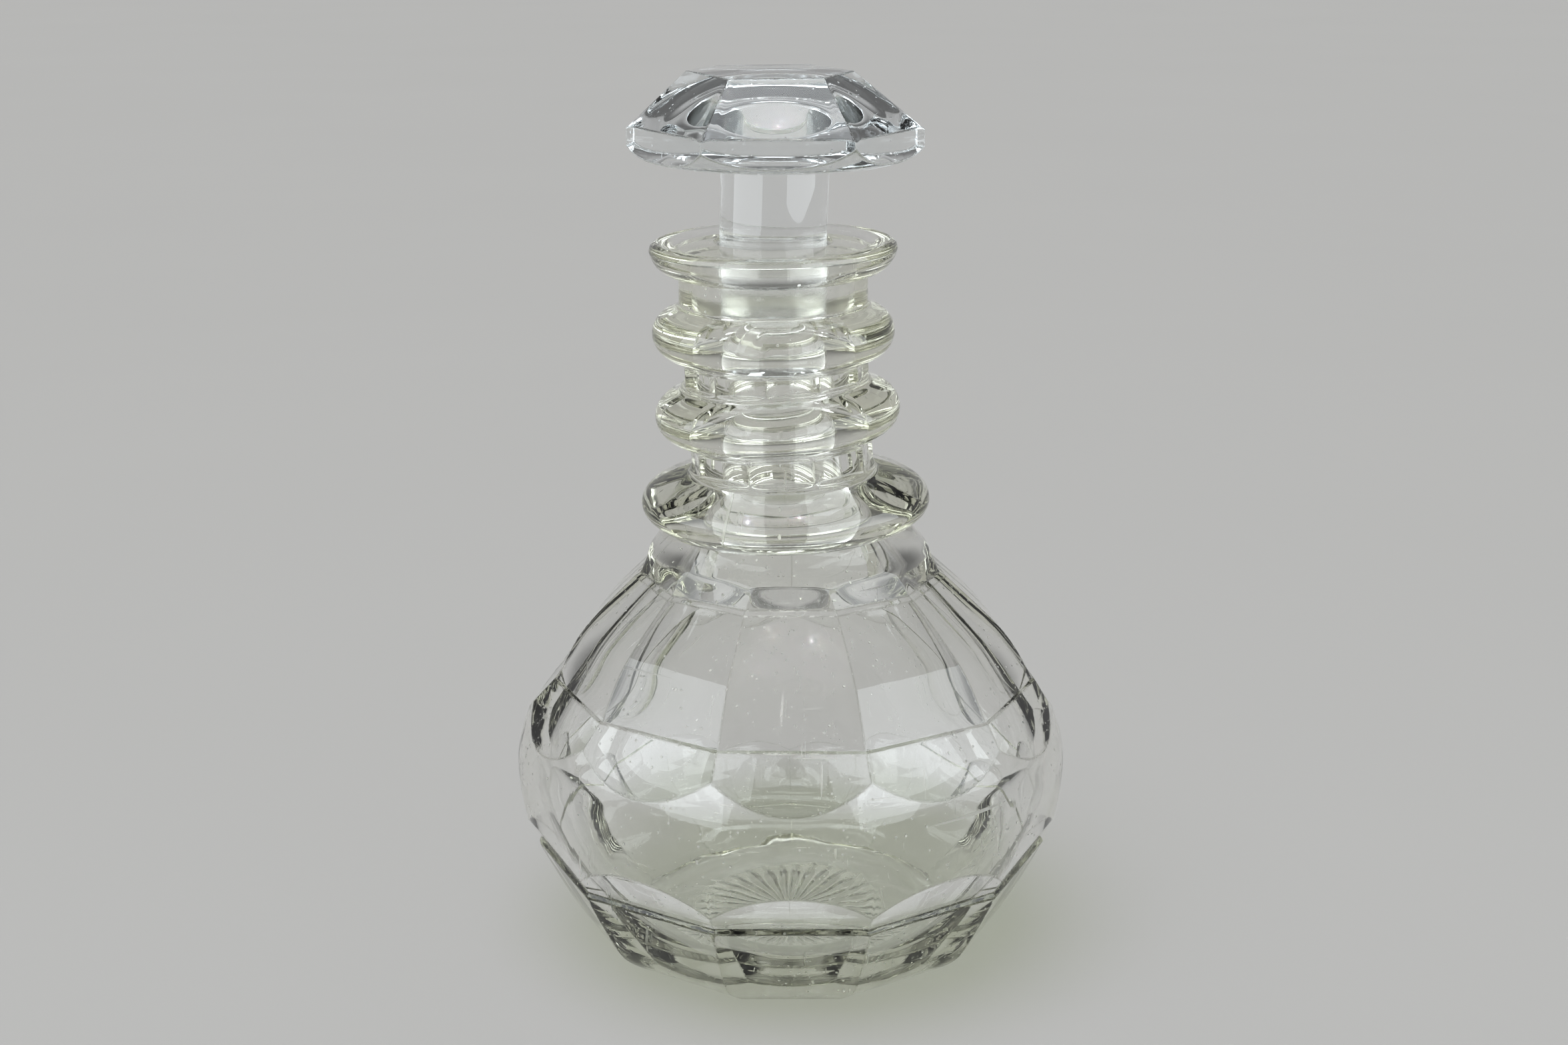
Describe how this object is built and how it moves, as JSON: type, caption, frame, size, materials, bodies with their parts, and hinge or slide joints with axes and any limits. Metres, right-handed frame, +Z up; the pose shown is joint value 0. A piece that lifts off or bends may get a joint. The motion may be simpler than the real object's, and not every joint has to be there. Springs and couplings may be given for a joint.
{
  "type": "sherry decanter",
  "caption": "Cut-glass decanter: squat faceted globe on a star-cut base, ringed neck with a flared lip, and a solid lift-off stopper with a faceted mushroom head.",
  "frame": {"origin": "middle of the foot, on the surface that the decanter stands on", "axes": "+Z up along the body's axis, -Y towards the front panel, +X to the right as seen from the front"},
  "size_m": [0.1294, 0.1294, 0.2054],
  "materials": {
    "bottle_glass": "clear with a faint yellow-green tint, cut, polished and lightly worn",
    "stopper_glass": "clear and nearly colourless, cut and polished, with a ground plug"
  },
  "bodies": {
    "bottle": {"bottle": "bottle_glass", "upper_neck_ring": "bottle_glass", "middle_neck_ring": "bottle_glass", "lower_neck_ring": "bottle_glass"},
    "stopper": {"stopper": "stopper_glass"}
  },
  "joints": [
    {"name": "stopper_lift", "type": "slide", "parent": "bottle", "child": "stopper", "axis": [0, 0, 1], "range_m": [0, 0.05]}
  ]
}
